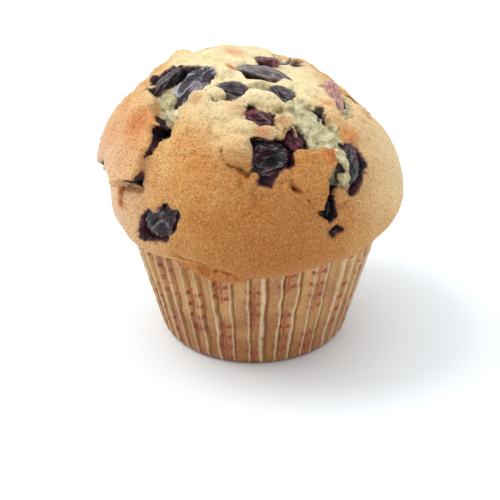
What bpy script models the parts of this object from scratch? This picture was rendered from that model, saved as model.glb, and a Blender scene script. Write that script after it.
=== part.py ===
"""Blueberry muffin in its pleated paper case, standing on its base.

Metres, +Z up. The origin is the centre of the case's flat underside, and -Y is the front.
Directions on the muffin's crown are given as (azimuth, latitude) in degrees, seen from the
crown's centre: azimuth 0 is the front, 90 the right, and latitude 90 the very top.
"""

import math

import bmesh
import bpy
from mathutils import Matrix, Vector

MM = 0.001

# Paper case: a flat round base and a flaring wall of flat panels between narrow raised pleats.
PLEATS = 44
BASE_RADIUS = 25.0 * MM
CORNER_RISE = 1.2 * MM
CORNER_TUCK = 0.9 * MM
WALL_FLARE = 0.24
CASE_HEIGHT = 35.0 * MM
PAPER_THICKNESS = 0.25 * MM
PLEAT_DEPTH = 1.0 * MM
PLEAT_SHARE = 0.24
PLEAT_DEPTH_AT_BASE = 0.25
WALL_ROWS = 4

# Cake: a foot that fills the case, and a crown that has risen out of it and spread over the rim.
FIT_GAP = 0.3 * MM
FOOT_ROWS = 4
CROWN_SEGMENTS = 76
CROWN_RADIUS = 40.6 * MM
CROWN_CENTRE = 44.0 * MM
CROWN_TOP = 78.0 * MM
CROWN_SQUARENESS = 2.15
LIP_ROUNDING = 6.2 * MM
LIP_UNDERSIDE = CASE_HEIGHT + 0.6 * MM
LIP_ROWS = 4
CROWN_ROWS = 19

# Swellings and, with a height below zero, flats of the crown:
# (azimuth, latitude, reach in degrees, height in mm).
SWELLINGS = (
    (-92, 12, 24, 2.4),
    (-70, 20, 16, 1.6),
    (-27, 60, 18, 1.6),
    (-12, 38, 13, 1.8),
    (-5, 15, 45, 0.8),
    (62, 30, 35, 0.6),
    (112, 44, 56, -4.8),
    (-122, 52, 40, 1.4),
    (-150, 25, 35, 0.8),
    (-86, -10, 20, -1.8),
    (6, -8, 28, 1.6),
)

# Clefts torn as the crown rose: (half-width in mm, depth in mm, points as (azimuth, latitude)).
CLEFTS = (
    (6.0, 3.6, ((-118, 58), (-92, 67), (-72, 56), (-70, 43), (-57, 36), (-54, 25), (-60, 17))),
    (6.0, 3.2, ((-72, 64), (-31, 68), (31, 65), (44, 50), (42, 38), (39, 27), (31, 16), (27, 9))),
    (6.5, 3.0, ((-2, 36), (14, 36), (26, 41))),
    (6.0, 3.0, ((150, 52), (170, 40), (-172, 24), (-178, 14))),
    (5.5, 2.8, ((118, 40), (108, 26), (112, 14))),
)

# Blueberries: name -> (azimuth, latitude, half-length, half-width, half-depth, turn, sink).
# Lengths in mm. Turn, in degrees, swings the long axis up from the horizontal, and sink is how
# far the berry's centre lies under the crown's surface there.
BERRIES = {
    "berry_left_cleft": (-70, 60, 8.4, 4.6, 3.8, 116, 0.9),
    "berry_left_cleft_lower": (-93, 48, 6.4, 2.6, 3.0, 112, 1.3),
    "berry_left_shoulder": (-93, 10, 4.8, 4.4, 4.0, 0, 3.0),
    "berry_low_left": (-38, 6, 7.4, 5.2, 4.6, 52, 3.2),
    "berry_centre": (6, 35, 6.6, 5.2, 4.6, 10, 2.4),
    "berry_centre_upper": (2, 53, 4.6, 3.0, 3.2, -15, 2.2),
    "berry_centre_right": (26, 40, 4.6, 2.6, 2.8, -50, 1.6),
    "berry_crown_left": (-25, 68, 5.4, 3.6, 3.4, -6, 1.0),
    "berry_crown_right": (34, 66, 5.0, 3.8, 3.8, -80, 1.4),
    "berry_crown_top": (135, 85, 8.4, 3.6, 3.2, 15, 2.0),
    "berry_crown_back": (166, 66, 4.0, 2.8, 3.0, -10, 1.8),
    "berry_upper_right": (43, 48, 3.4, 3.0, 3.0, 0, 1.6),
    "berry_right_cleft": (45, 26, 6.8, 3.4, 3.6, 62, 1.6),
    "berry_right_low": (31, 14, 4.6, 2.6, 3.0, 68, 1.5),
    "berry_right_streak": (84, 48, 8.6, 2.6, 2.8, 14, 1.9),
    "berry_right_side": (108, 28, 6.0, 4.4, 4.2, 50, 2.0),
    "berry_back_right": (152, 50, 6.2, 4.2, 4.0, 25, 1.8),
    "berry_back_middle": (178, 24, 6.2, 5.0, 4.4, -30, 2.4),
    "berry_back_left": (-146, 46, 5.6, 4.4, 4.2, 15, 3.0),
    "berry_back_low": (-132, 8, 5.2, 4.6, 4.2, 60, 3.0),
}
BERRY_SEGMENTS = 12
BERRY_RINGS = 7

PAPER_COLOUR = (0.78, 0.56, 0.32)
CRUST_COLOUR = (0.66, 0.36, 0.13)
BERRY_COLOUR = (0.035, 0.02, 0.045)


def clear_scene():
    for obj in list(bpy.data.objects):
        bpy.data.objects.remove(obj)


def make_material(name, colour, roughness):
    material = bpy.data.materials.new(name)
    material.use_nodes = True
    shader = material.node_tree.nodes["Principled BSDF"]
    shader.inputs["Base Color"].default_value = (*colour, 1.0)
    shader.inputs["Roughness"].default_value = roughness
    shader.inputs["Metallic"].default_value = 0.0
    return material


def make_object(name, mesh_builder, material):
    """A named object whose mesh is the builder's, with a material and smooth shading."""
    mesh = bpy.data.meshes.new(name)
    mesh_builder.to_mesh(mesh)
    mesh_builder.free()
    mesh.shade_smooth()
    mesh.set_sharp_from_angle(angle=math.radians(40))
    mesh.materials.append(material)
    obj = bpy.data.objects.new(name, mesh)
    bpy.context.scene.collection.objects.link(obj)
    return obj


def direction(azimuth, latitude):
    """Unit vector from the crown's centre, for angles in degrees."""
    a = math.radians(azimuth)
    b = math.radians(latitude)
    return Vector((math.cos(b) * math.sin(a), -math.cos(b) * math.cos(a), math.sin(b)))


def add_ring(builder, points):
    return [builder.verts.new(point) for point in points]


def skin_rings(builder, lower, upper):
    """Quads from one ring up to the next, facing outwards when the rings run anticlockwise."""
    count = len(lower)
    for i in range(count):
        j = (i + 1) % count
        builder.faces.new((lower[i], lower[j], upper[j], upper[i]))


def wall_radius(height):
    """Radius of the case wall's flat panels, on the outside."""
    return BASE_RADIUS + WALL_FLARE * height


def case_ring(height, inset, pleat_share):
    """One ring of the case: each pleat is a panel edge, a raised ridge and the next panel edge."""
    ring = []
    radius = wall_radius(height) - inset
    pitch = 2 * math.pi / PLEATS
    for pleat in range(PLEATS):
        for offset, lift in ((-PLEAT_SHARE, 0.0), (0.0, PLEAT_DEPTH * pleat_share), (PLEAT_SHARE, 0.0)):
            angle = (pleat + offset) * pitch
            reach = radius + lift
            ring.append(Vector((reach * math.cos(angle), reach * math.sin(angle), height)))
    return ring


def pleat_share_at(height):
    """How much of the pleats' depth there is at a height: they fade towards the base."""
    rise = min(1.0, height / CASE_HEIGHT)
    return PLEAT_DEPTH_AT_BASE + (1 - PLEAT_DEPTH_AT_BASE) * rise


def make_paper_case(material):
    builder = bmesh.new()
    heights = [
        CORNER_RISE + (CASE_HEIGHT - CORNER_RISE) * row / WALL_ROWS for row in range(WALL_ROWS + 1)
    ]
    outer = [case_ring(0.0, CORNER_TUCK, 0.0)]
    outer += [case_ring(height, 0.0, pleat_share_at(height)) for height in heights]
    inner = [
        case_ring(height, PAPER_THICKNESS, pleat_share_at(height)) for height in reversed(heights)
    ]
    floor = case_ring(0.0, CORNER_TUCK + PAPER_THICKNESS, 0.0)
    inner.append([Vector((point.x, point.y, PAPER_THICKNESS)) for point in floor])
    rings = [add_ring(builder, points) for points in outer + inner]
    for lower, upper in zip(rings, rings[1:]):
        skin_rings(builder, lower, upper)
    builder.faces.new(list(reversed(rings[0])))
    builder.faces.new(rings[-1])
    return make_object("paper_case", builder, material)


def segment_distance(point, start, end):
    along = end - start
    share = (point - start).dot(along) / along.length_squared
    return (point - start - along * min(1.0, max(0.0, share))).length


def fade(share):
    """A smooth bump: 1 at 0, falling to 0 at 1."""
    return (1 - share * share) ** 2 if share < 1 else 0.0


def crown_relief(towards):
    """How far the crown stands out of its plain shape in a direction, in metres."""
    relief = 0.0
    for azimuth, latitude, reach, height in SWELLINGS:
        angle = math.degrees(towards.angle(direction(azimuth, latitude)))
        relief += height * MM * fade(angle / reach)
    deepest = 0.0
    for half_width, depth, points in CLEFTS:
        line = [direction(*point) for point in points]
        gap = min(segment_distance(towards, a, b) for a, b in zip(line, line[1:]))
        deepest = max(deepest, depth * MM * fade(gap * CROWN_RADIUS / (half_width * MM)))
    return relief - deepest


def crown_reach(latitude):
    """Distance from the crown's centre to its plain surface, above the widest level."""
    across = math.cos(math.radians(latitude)) / CROWN_RADIUS
    upward = math.sin(math.radians(latitude)) / (CROWN_TOP - CROWN_CENTRE)
    power = CROWN_SQUARENESS
    return (across**power + abs(upward) ** power) ** (-1 / power)


def crown_centre():
    return Vector((0, 0, CROWN_CENTRE))


def plain_ring(radius, height):
    angles = [2 * math.pi * i / CROWN_SEGMENTS for i in range(CROWN_SEGMENTS)]
    return [Vector((radius * math.cos(a), radius * math.sin(a), height)) for a in angles]


def relieved(point, share=1.0):
    """A point of the plain crown, moved out or in by the relief there."""
    offset = point - crown_centre()
    return point + offset.normalized() * crown_relief(offset.normalized()) * share


def cake_rings():
    """The cake's rings from the foot's floor up to just under the top."""
    clearance = PAPER_THICKNESS + FIT_GAP
    floor = PAPER_THICKNESS + FIT_GAP
    panel_flatness = math.cos(math.pi * (1 - 2 * PLEAT_SHARE) / PLEATS)
    rings = [plain_ring(wall_radius(0) - CORNER_TUCK - 2 * clearance, floor)]
    foot_start = CORNER_RISE + FIT_GAP
    for row in range(FOOT_ROWS + 1):
        height = foot_start + (LIP_UNDERSIDE - foot_start) * row / FOOT_ROWS
        rings.append(plain_ring((wall_radius(height) - clearance) * panel_flatness, height))
    lip_drop = CROWN_CENTRE - LIP_UNDERSIDE
    for row in range(LIP_ROWS):
        turn = math.pi / 2 * (1 - row / LIP_ROWS)
        radius = CROWN_RADIUS - LIP_ROUNDING * (1 - math.cos(turn))
        height = CROWN_CENTRE - lip_drop * math.sin(turn)
        share = row / LIP_ROWS
        rings.append([relieved(point, share) for point in plain_ring(radius, height)])
    for row in range(CROWN_ROWS):
        latitude = 90 * row / CROWN_ROWS
        reach = crown_reach(latitude)
        radius = reach * math.cos(math.radians(latitude))
        height = CROWN_CENTRE + reach * math.sin(math.radians(latitude))
        rings.append([relieved(point) for point in plain_ring(radius, height)])
    return rings


def make_cake(material):
    builder = bmesh.new()
    rings = [add_ring(builder, points) for points in cake_rings()]
    for lower, upper in zip(rings, rings[1:]):
        skin_rings(builder, lower, upper)
    builder.faces.new(list(reversed(rings[0])))
    top = builder.verts.new(relieved(Vector((0, 0, CROWN_TOP))))
    last = rings[-1]
    for i, vertex in enumerate(last):
        builder.faces.new((vertex, last[(i + 1) % len(last)], top))
    return make_object("cake", builder, material)


def berry_placement(azimuth, latitude, turn, sink):
    """World matrix of a berry: its Z points out of the crown, and its X lies along its length."""
    outward = direction(azimuth, latitude)
    sideways = Vector((0, 0, 1)).cross(outward).normalized()
    upward = outward.cross(sideways)
    swing = math.radians(turn)
    lengthwise = sideways * math.cos(swing) + upward * math.sin(swing)
    crosswise = outward.cross(lengthwise)
    surface = crown_centre() + outward * crown_reach(latitude)
    centre = relieved(surface) - outward * sink * MM
    basis = Matrix((lengthwise, crosswise, outward)).transposed().to_4x4()
    return Matrix.Translation(centre) @ basis


def make_berry_solid(name, measures, margin, material):
    """An ellipsoid of the berry's measures, larger by a margin all round."""
    azimuth, latitude, length, width, depth, turn, sink = measures
    builder = bmesh.new()
    bmesh.ops.create_uvsphere(
        builder, u_segments=BERRY_SEGMENTS, v_segments=BERRY_RINGS, radius=1.0
    )
    scale = Vector([side * MM + margin for side in (length, width, depth)])
    bmesh.ops.scale(builder, vec=scale, verts=builder.verts)
    berry = make_object(name, builder, material)
    berry.matrix_world = berry_placement(azimuth, latitude, turn, sink)
    return berry


def press_pocket(cake, cutter):
    """Cuts a berry's pocket out of the cake and turns the cutter into a hidden helper."""
    cutter.hide_render = True
    cutter.display_type = "WIRE"
    cut = cake.modifiers.new(cutter.name, "BOOLEAN")
    cut.operation = "DIFFERENCE"
    cut.solver = "EXACT"
    cut.object = cutter


def main():
    clear_scene()
    paper = make_material("greaseproof_paper", PAPER_COLOUR, 0.6)
    crust = make_material("baked_crust", CRUST_COLOUR, 0.75)
    fruit = make_material("baked_blueberry", BERRY_COLOUR, 0.35)
    make_paper_case(paper)
    cake = make_cake(crust)
    for name, measures in BERRIES.items():
        make_berry_solid(name, measures, 0.0, fruit)
        press_pocket(cake, make_berry_solid(f"pocket_for_{name}", measures, FIT_GAP, fruit))


main()
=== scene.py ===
"""Blueberry muffin in a pleated paper case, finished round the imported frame.

The cake is sculpted in millimetres as a field that is below zero inside it, and a fine net is laid
over the field's zero level. Places on the crown are directions from its centre, as (azimuth,
latitude) in degrees: azimuth 0 is the front (-Y), 90 the right (+X), and latitude 90 the top.
"""

import itertools
import math

import bmesh
import bpy
import numpy as np
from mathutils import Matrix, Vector


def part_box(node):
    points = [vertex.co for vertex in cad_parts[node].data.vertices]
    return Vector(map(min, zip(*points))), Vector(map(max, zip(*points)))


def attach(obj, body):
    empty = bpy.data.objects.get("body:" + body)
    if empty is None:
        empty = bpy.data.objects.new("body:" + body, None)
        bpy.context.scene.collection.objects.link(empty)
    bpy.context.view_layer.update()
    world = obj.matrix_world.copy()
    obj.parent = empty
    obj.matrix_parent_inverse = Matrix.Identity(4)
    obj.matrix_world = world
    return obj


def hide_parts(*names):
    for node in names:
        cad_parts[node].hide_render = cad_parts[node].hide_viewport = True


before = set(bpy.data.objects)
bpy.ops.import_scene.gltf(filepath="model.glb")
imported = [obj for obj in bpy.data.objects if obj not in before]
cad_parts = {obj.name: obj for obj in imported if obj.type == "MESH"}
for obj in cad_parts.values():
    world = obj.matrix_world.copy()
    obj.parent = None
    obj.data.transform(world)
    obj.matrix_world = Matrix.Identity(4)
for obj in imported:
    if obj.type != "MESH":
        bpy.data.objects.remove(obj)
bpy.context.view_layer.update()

MM = 0.001

# ---------------------------------------------------------------- measures, in millimetres

# The paper case, read from its node: a flat base and a wall that flares towards the rim.
case_low, case_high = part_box("paper_case")
CASE_HEIGHT = case_high.z / MM
WALL_FLARE = 0.24
BASE_RADIUS = 25.0
PLEATS = 44

# The crown: an upper half that is nearly round, and a lip that curls under to the case's rim. Below
# it, the foot stands in the case.
CROWN_CENTRE = np.array((0.0, 0.0, 44.0))
CROWN_RADIUS = 40.6
CROWN_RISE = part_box("cake")[1].z / MM - CROWN_CENTRE[2]
CROWN_POWER = 2.15
LIP_DROP = 13.0
LIP_POWER = 3.0
FOOT_CLEARANCE = 0.7
FOOT_FLOOR = 0.6
FOOT_TOP = 40.0
CROWN_FROM = CASE_HEIGHT - 9
CRUST_DEPTH = 2.0
CRUST_EDGE = 1.0

# The net's spacing, finest where the crown is most broken, and how far from the plain crown the field
# is worked out in full.
NET_STEP = 0.565
BACK_STEP = 1.3 * NET_STEP
BACK_FROM = 8.0
LIP_STEP = 1.3 * NET_STEP
LIP_UP_TO = 42.0
FOOT_STEP = 1.6
BAND = 10.0

# The crown's own relief: crags as (size, height, seed), and how far torn outlines and cracks are pushed
# about, as (size, push).
CRAGS = ((4.6, 1.7, 4), (2.3, 0.9, 5))
TEARS = ((3.4, 1.1), (1.5, 0.75), (0.8, 0.35))
CRACK_WAVES = ((5.0, 0.7), (1.6, 0.3))

# The chart: the crown's directions laid out flat round its top, for all that depends on
# direction alone. Both values are degrees of arc.
CHART_STEP = 0.35
CHART_REACH = 114.0

# ---------------------------------------------------------------- the crown's features

# Swellings and flats: (azimuth, latitude, reach in degrees, height).
SWELLINGS = (
    (-27, 60, 18, 1.2),
    (-12, 38, 15, 1.2),
    (-5, 15, 45, 0.8),
    (62, 30, 35, 0.4),
    (112, 44, 56, -5.2),
    (-122, 52, 40, 1.2),
    (-150, 25, 35, 0.8),
    (-84, -4, 34, -1.6),
    (6, -8, 30, 2.0),
    (-24, -12, 12, -1.2),
    (-12, -14, 8, -1.6),
    (40, -12, 12, 0.7),
    (-48, -10, 14, 0.9),
    (-36, 6, 16, 0.7),
    (-60, 6, 12, 0.9),
    (140, 84, 38, -3.3),
    (-150, 72, 26, -1.0),
)

# Openings torn through the crust: depth in the middle, depth at the edge, how far the side slopes,
# how deeply juice stained it, from 0 to 1 (in left_gap partly painted shadow on the deep floor), and the
# outline.
OPENINGS = {
    # left_gap's full stain paints its deep floor purple-black: partly juice of a squashed berry, partly
    # painted shadow.
    "left_gap": (11.0, 8.0, 0.6, 1.0, (
        (-62, 41), (-54, 39), (-50, 34), (-50, 26), (-48, 20), (-47, 15), (-54, 15), (-62, 30))),
    "left_trench": (3.2, 1.0, 3.4, 0.1, (
        (-64, 39), (-75, 40), (-86, 42), (-90, 50), (-96, 60), (-92, 68), (-78, 70), (-63, 68),
        (-52, 64), (-49, 59), (-54, 50), (-48, 43), (-46, 38), (-51, 32), (-56, 35))),
    "left_berry_bed": (2.8, 1.4, 1.2, 0.95, (
        (-102, 42), (-104, 52), (-98, 64), (-80, 72), (-66, 71), (-80, 64), (-90, 54), (-92, 44))),
    "crown_left": (3.8, 1.2, 1.6, 0.55, (
        (-37, 58), (-44, 61), (-44, 68), (-36, 74), (-22, 73), (-8, 70), (-9, 66), (-16, 60))),
    "top_trench": (3.0, 0.8, 3.0, 0.1, (
        (-14, 66), (-24, 74), (-11, 78), (39, 78), (56, 75), (58, 71), (50, 65), (37, 61),
        (34, 55), (26, 58), (20, 64), (3, 70))),
    "right_trench": (3.2, 0.4, 3.0, 0.15, (
        (36, 62), (44, 57), (49, 49), (50, 42), (46, 34), (42, 32), (43, 38), (41, 46), (36, 54))),
    "crumb_mass": (2.2, 1.2, 2.0, 0.0, (
        (23, 57), (34, 56), (43, 47), (45, 36), (42, 31), (30, 34), (24, 38), (23, 46), (14, 55))),
    "upper_hole": (3.4, 1.6, 1.4, 0.95, (
        (-7, 58), (-3, 59), (3, 55), (12, 53), (16, 51), (14, 49), (6, 48), (-1, 49), (-4, 52))),
    "crater": (5.0, 2.4, 1.8, 1.0, (
        (-4, 40), (1, 43), (9, 41), (12, 47), (20, 47), (21, 41), (23, 36), (18, 32), (10, 29),
        (6, 26), (3, 26), (2, 29), (-3, 30), (-1, 34))),
    "purple_streak": (2.4, 1.2, 1.2, 0.9, (
        (13, 43), (20, 44), (25, 42), (31, 35), (24, 34), (17, 37), (13, 40))),
    "right_wall": (2.6, 1.0, 2.0, 0.05, (
        (36, 33), (43, 31), (42, 25), (39, 22), (36, 19), (31, 20), (32, 24), (36, 28))),
    "right_gap": (8.0, 4.0, 1.0, 1.0, (
        (32, 25), (34, 21), (36, 18), (32, 17), (32, 12), (28, 9), (26, 14), (28, 19))),
    "berry_right": (3.0, 1.6, 1.0, 1.0, (
        (46, 35), (51, 31), (52, 26), (49, 22), (44, 19), (39, 15), (37, 18), (40, 21), (44, 26))),
    "low_pit": (3.4, 2.6, 0.4, 0.75, ((27, 7), (29, 5), (32, 7), (34, 4), (30, 3))),
    "low_left": (2.2, 0.8, 1.0, 1.0, (
        (-42, 9), (-45, 5), (-48, 0), (-47, -4), (-41, -3), (-34, 1), (-30, 6), (-29, 12),
        (-33, 15), (-37, 14), (-36, 11), (-38, 9))),
    "small_pit": (3.0, 1.2, 0.8, 0.7, ((49, 54), (54, 49), (48, 46), (45, 49))),
    "top_strip": (1.5, 0.7, 0.8, 0.6, (
        (-166, 76), (172, 77), (124, 80), (70, 79), (52, 82), (-30, 84), (-120, 84))),
    "crown_back": (1.6, 0.7, 1.0, 0.6, ((175, 70), (158, 69), (155, 63), (172, 63))),
    "streak": (0.9, 0.4, 0.9, 0.3, (
        (114, 53), (103, 46), (84, 42), (69, 39), (58, 41), (66, 47), (84, 52), (104, 55))),
    "flap_tip": (1.6, 0.8, 1.0, 0.9, ((-96, 14), (-86, 14), (-80, 11), (-86, 8), (-97, 8))),
    "right_side": (2.2, 0.9, 1.4, 0.8, ((101, 33), (112, 35), (116, 27), (110, 21), (102, 24))),
    "back_right": (2.6, 1.0, 1.6, 0.6, ((143, 53), (158, 55), (162, 47), (148, 44))),
    "back_middle": (3.0, 1.2, 1.6, 0.9, ((170, 30), (-178, 30), (-172, 22), (179, 17), (168, 21))),
    "back_left": (2.2, 1.0, 1.6, 0.7, ((-156, 48), (-144, 52), (-136, 46), (-146, 40))),
    "back_low": (2.6, 1.0, 1.4, 0.9, ((-139, 12), (-130, 15), (-125, 8), (-132, 1), (-139, 4))),
    "back_cleft": (4.2, 1.2, 2.0, 0.0, (
        (150, 60), (160, 58), (172, 42), (-174, 34), (-166, 24), (-171, 20), (179, 32), (160, 44))),
    "side_cleft": (3.2, 1.0, 1.8, 0.0, (
        (124, 42), (118, 34), (104, 26), (112, 14), (107, 13), (98, 26))),
}

# Cracks: half-width, depth and the line that each follows.
CRACKS = (
    (0.9, 1.6, ((17, 22), (15, 25), (16, 28), (18, 32))),
    (0.9, 2.2, ((16, 23), (20, 21), (22, 18), (24, 15), (25, 12))),
    (1.1, 2.2, ((-15, 37), (-13, 33), (-8, 31), (-2, 29))),
    (0.7, 0.8, ((-5, 30), (-6, 28), (-5, 25))),
    (0.7, 0.6, ((-15, 35), (-17, 30), (-12, 29), (-8, 27))),
    (1.5, 1.0, ((-92, 34), (-88, 30), (-82, 28))),
    (1.2, 1.8, ((-100, 10), (-88, 7), (-76, 11), (-66, 11), (-56, 13), (-48, 15))),
    (0.7, 0.8, ((-18, 40), (-24, 43), (-26, 48))),
    (0.6, 0.7, ((-20, 33), (-28, 34), (-33, 31))),
    (0.6, 0.7, ((-34, 40), (-38, 44), (-36, 50))),
    (0.6, 0.8, ((2, 26), (-1, 22), (1, 18), (-3, 13))),
    (0.6, 0.7, ((14, 27), (10, 24), (12, 20))),
    (0.6, 0.7, ((-44, 26), (-38, 28), (-34, 25))),
    (0.8, 1.2, ((58, 60), (62, 54), (60, 47), (64, 40))),
    (0.7, 0.9, ((70, 36), (78, 32), (80, 25))),
    (0.7, 1.0, ((-104, 66), (-112, 58), (-110, 50))),
    (0.9, 1.8, ((-60, 15), (-59, 10), (-58, 5))),
    (0.8, 1.0, ((-74, 12), (-75, 3))),
    (0.9, 2.0, ((-111, 72), (-92, 77), (-70, 76), (-56, 72))),
    (0.8, 1.0, ((30, 13), (36, 14))),
    (0.6, 0.6, ((3, 22), (2, 18), (4, 15))),
    (1.0, 1.4, ((-175, 22), (-172, 12), (-176, 4))),
    (0.9, 1.2, ((112, 14), (114, 6))),
    (0.8, 1.0, ((-140, 20), (-120, 26), (-112, 36))),
    (1.7, 3.0, ((-31, -8), (-25, -10), (-19, -9), (-12, -11), (-5, -13))),
)

# Pieces of crust or crumb that stand proud: what they are, how far they lift at their middle, how
# much more towards a direction, that direction, the roundness of their edge, and the outline.
PLATES = {
    "left_flap": ("crust", 2.5, 1.1, (-70, 14), 1.1, (
        (-84, 45), (-66, 42), (-56, 39), (-52, 32), (-48, 24), (-49, 18), (-56, 15), (-66, 13),
        (-76, 13), (-88, 9), (-99, 12), (-106, 22), (-100, 34), (-92, 42))),
    "front_ridge": ("crust", 0.3, 0.9, (-25, 76), 1.3, (
        (-50, 22), (-52, 29), (-49, 34), (-45, 39), (-48, 44), (-52, 49), (-51, 55), (-47, 59),
        (-38, 58), (-30, 57), (-18, 59), (-12, 64), (-8, 67), (3, 71), (15, 69), (21, 64),
        (24, 57), (12, 56), (2, 58), (-8, 60), (-14, 50), (-34, 42), (-44, 28))),
    "right_flap": ("crust", 0.7, 1.1, (33, 24), 0.8, (
        (20, 37), (28, 36), (36, 35), (38, 33), (36, 29), (34, 26), (32, 24), (30, 20), (27, 14),
        (24, 14), (21, 18), (16, 23), (14, 26), (18, 31))),
    "crumb_mass": ("crumb", -0.2, 0.9, (40, 42), 1.4, (
        (23, 58), (29, 60), (34, 55), (40, 50), (43, 44), (44, 37), (42, 33), (38, 33), (31, 35),
        (26, 39), (24, 45), (20, 51), (15, 55))),
}

# Lumps: what they are, azimuth, latitude, height of the middle over the crown, half-length,
# half-width, half-height, and the turn of the length up from the horizontal.
LUMPS = (
    ("crust", -8, 38, -0.3, 3.8, 4.2, 3.4, 0),
    ("crust", -8, 47, -0.8, 4.9, 2.9, 2.6, 8),
    ("crust", -18, 52, -1.2, 3.6, 2.6, 2.4, -20),
    ("crust", 6, 46, -0.6, 2.7, 2.0, 2.0, 10),
    ("crust", 18, 50, -0.9, 2.8, 2.3, 2.2, -20),
    ("crust", 14, 45, -1.6, 1.8, 1.4, 1.6, 0),
    ("crust", -44, 57, -0.2, 3.2, 2.0, 2.0, 15),
    ("crust", -36, 62, -1.2, 2.8, 2.0, 2.2, 0),
    ("crust", -76, 74, -0.6, 2.8, 3.0, 2.4, 0),
    ("crust", -110, 74, -1.0, 3.6, 2.4, 2.6, 20),
    ("crust", -136, 62, -1.2, 3.8, 3.0, 2.6, 30),
    ("crust", -150, 72, -1.0, 3.0, 2.2, 2.2, 0),
    ("crust", -124, 50, -1.2, 4.0, 2.6, 2.4, -30),
    ("crust", 60, 72, -1.0, 4.0, 2.8, 2.4, 30),
    ("crust", 72, 62, -1.2, 4.4, 2.6, 2.4, -40),
    ("crust", 54, 46, -1.0, 3.4, 2.2, 2.2, 60),
    ("crust", 25, 16, -0.9, 1.2, 1.9, 1.4, 15),
    ("crumb", 38, 37, -0.2, 2.8, 2.8, 2.6, 0),
    ("crumb", 33, 46, -0.3, 3.2, 2.6, 2.2, -30),
    ("crumb", 28, 57, -0.4, 2.4, 1.6, 1.8, 0),
    ("crumb", 55, 68, -0.4, 1.0, 0.8, 1.1, 30),
    ("crust", 35, 17, -1.0, 2.2, 1.7, 1.8, -25),
    ("crumb", -52, 44, -2.0, 1.6, 1.1, 1.4, 40),
    ("crumb", -57, 46, -2.8, 2.8, 2.2, 2.0, 60),
    ("crumb", -66, 50, -1.8, 3.4, 2.0, 2.0, 100),
    ("crumb", -40, 66, -2.4, 2.4, 1.6, 1.6, 0),
    ("crumb", -16, 64, -2.2, 3.6, 1.8, 2.0, 0),
    ("crumb", 4, 73, -1.4, 3.4, 1.8, 1.8, -10),
    ("crumb", 20, 70, -1.4, 2.6, 1.6, 1.6, 20),
    ("crumb", 42, 58, -1.6, 2.6, 1.8, 1.8, -60),
    ("crust", -39, 12, -0.2, 2.4, 1.2, 1.2, 10),
    ("crumb", 170, 38, -1.8, 2.6, 1.6, 1.6, 30),
    ("crumb", 152, 50, -1.6, 1.6, 1.2, 1.4, 30),
)

# Lumps that grew over the edge of a berry, after the berries' hollows are made.
COVERS = (
    ("crumb", 40, 29, -0.6, 1.6, 3.6, 1.7, 14),
    ("crumb", 38, 22, -0.8, 1.8, 2.2, 1.8, 0),
    ("crumb", -74, 57, -0.6, 1.6, 1.2, 1.5, 30),
)

# Toasted spots, browned almost to orange: (azimuth, latitude, reach in degrees, strength).
TOASTED = (
    (-66, 36, 12, 0.75),
    (-118, 78, 5, 1.0),
    (36, 32, 6, 1.0),
    (52, 36, 7, 0.75),
    (88, 33, 6, 0.8),
    (-44, 56, 6, 0.45),
    (4, 46, 5, 0.7),
    (18, 50, 4, 0.5),
    (-59, 10, 4, 1.0),
    (-58, 6, 4, 0.9),
    (30, 5, 4, 0.9),
    (-96, 72, 5, 0.5),
    (60, 52, 5, 0.5),
    (-30, 40, 9, 0.22),
    (-14, 56, 6, 0.3),
    (-33, 4, 6, 0.3),
    (-24, 30, 12, 0.2),
    (-127, 45, 5, 0.6),
    (-80, 24, 14, 0.35),
    (150, 35, 12, 0.6),
    (-160, 62, 8, 0.6),
    (178, 8, 10, 0.4),
    (-120, 30, 12, 0.35),
)

# Berries: how far each burst, from 0 for whole to 1 for a hollow skin, how far it has shrunk back
# under the crust in mm (or swelled, below zero), its skin, how far its juice has run in mm, and how
# far its length was drawn out as the cake rose.
BERRIES = {
    "berry_left_cleft": (0.15, -1.5, "streaked_skin", 1.6, 1.15),
    "berry_left_cleft_lower": (0.6, 2.2, "burst_skin", 1.6, 1.2),
    "berry_left_shoulder": (0.2, 0.0, "bloomed_skin", 1.6, 1.0),
    "berry_low_left": (0.35, 0.7, "burst_skin", 2.4, 1.0),
    "berry_centre": (1.0, 0.8, "burst_skin", 2.6, 1.0),
    "berry_centre_upper": (0.6, 0.3, "stewed_skin", 2.2, 1.0),
    "berry_centre_right": (0.5, 0.2, "stewed_skin", 2.0, 1.0),
    "berry_crown_left": (0.5, -0.9, "burst_skin", 2.4, 1.25),
    "berry_crown_right": (0.4, 0.0, "burst_skin", 1.2, 1.1),
    "berry_crown_top": (0.2, 2.7, "dried_skin", 0.8, 1.1),
    "berry_crown_back": (0.3, 1.6, "stewed_skin", 0.8, 1.0),
    "berry_upper_right": (0.2, 0.4, "bloomed_skin", 1.8, 1.0),
    "berry_right_cleft": (0.4, 1.0, "burst_skin", 1.0, 1.0),
    "berry_right_low": (0.5, 1.4, "burst_skin", 1.4, 1.0),
    "berry_right_streak": (0.1, -0.1, "flat_skin", 0.5, 1.35),
    "berry_right_side": (0.4, 0.6, "burst_skin", 1.6, 1.0),
    "berry_back_right": (0.4, 0.4, "bloomed_skin", 1.8, 1.0),
    "berry_back_middle": (0.6, 0.6, "burst_skin", 2.2, 1.0),
    "berry_back_left": (0.3, 1.4, "dried_skin", 1.6, 1.0),
    "berry_back_low": (0.5, 0.6, "burst_skin", 2.0, 1.0),
}


# ---------------------------------------------------------------- numbers over the crown

def direction(azimuth, latitude):
    """Unit vector from the crown's centre, for angles in degrees."""
    a = math.radians(azimuth)
    b = math.radians(latitude)
    return np.array((math.cos(b) * math.sin(a), -math.cos(b) * math.cos(a), math.sin(b)))


def tangents(outward, turn):
    """Two unit vectors along the crown's surface: lengthwise, turned up from the horizontal, and across."""
    sideways = np.cross((0, 0, 1), outward)
    sideways = sideways / np.linalg.norm(sideways)
    upward = np.cross(outward, sideways)
    swing = math.radians(turn)
    lengthwise = sideways * math.cos(swing) + upward * math.sin(swing)
    return lengthwise, np.cross(outward, lengthwise)


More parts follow.
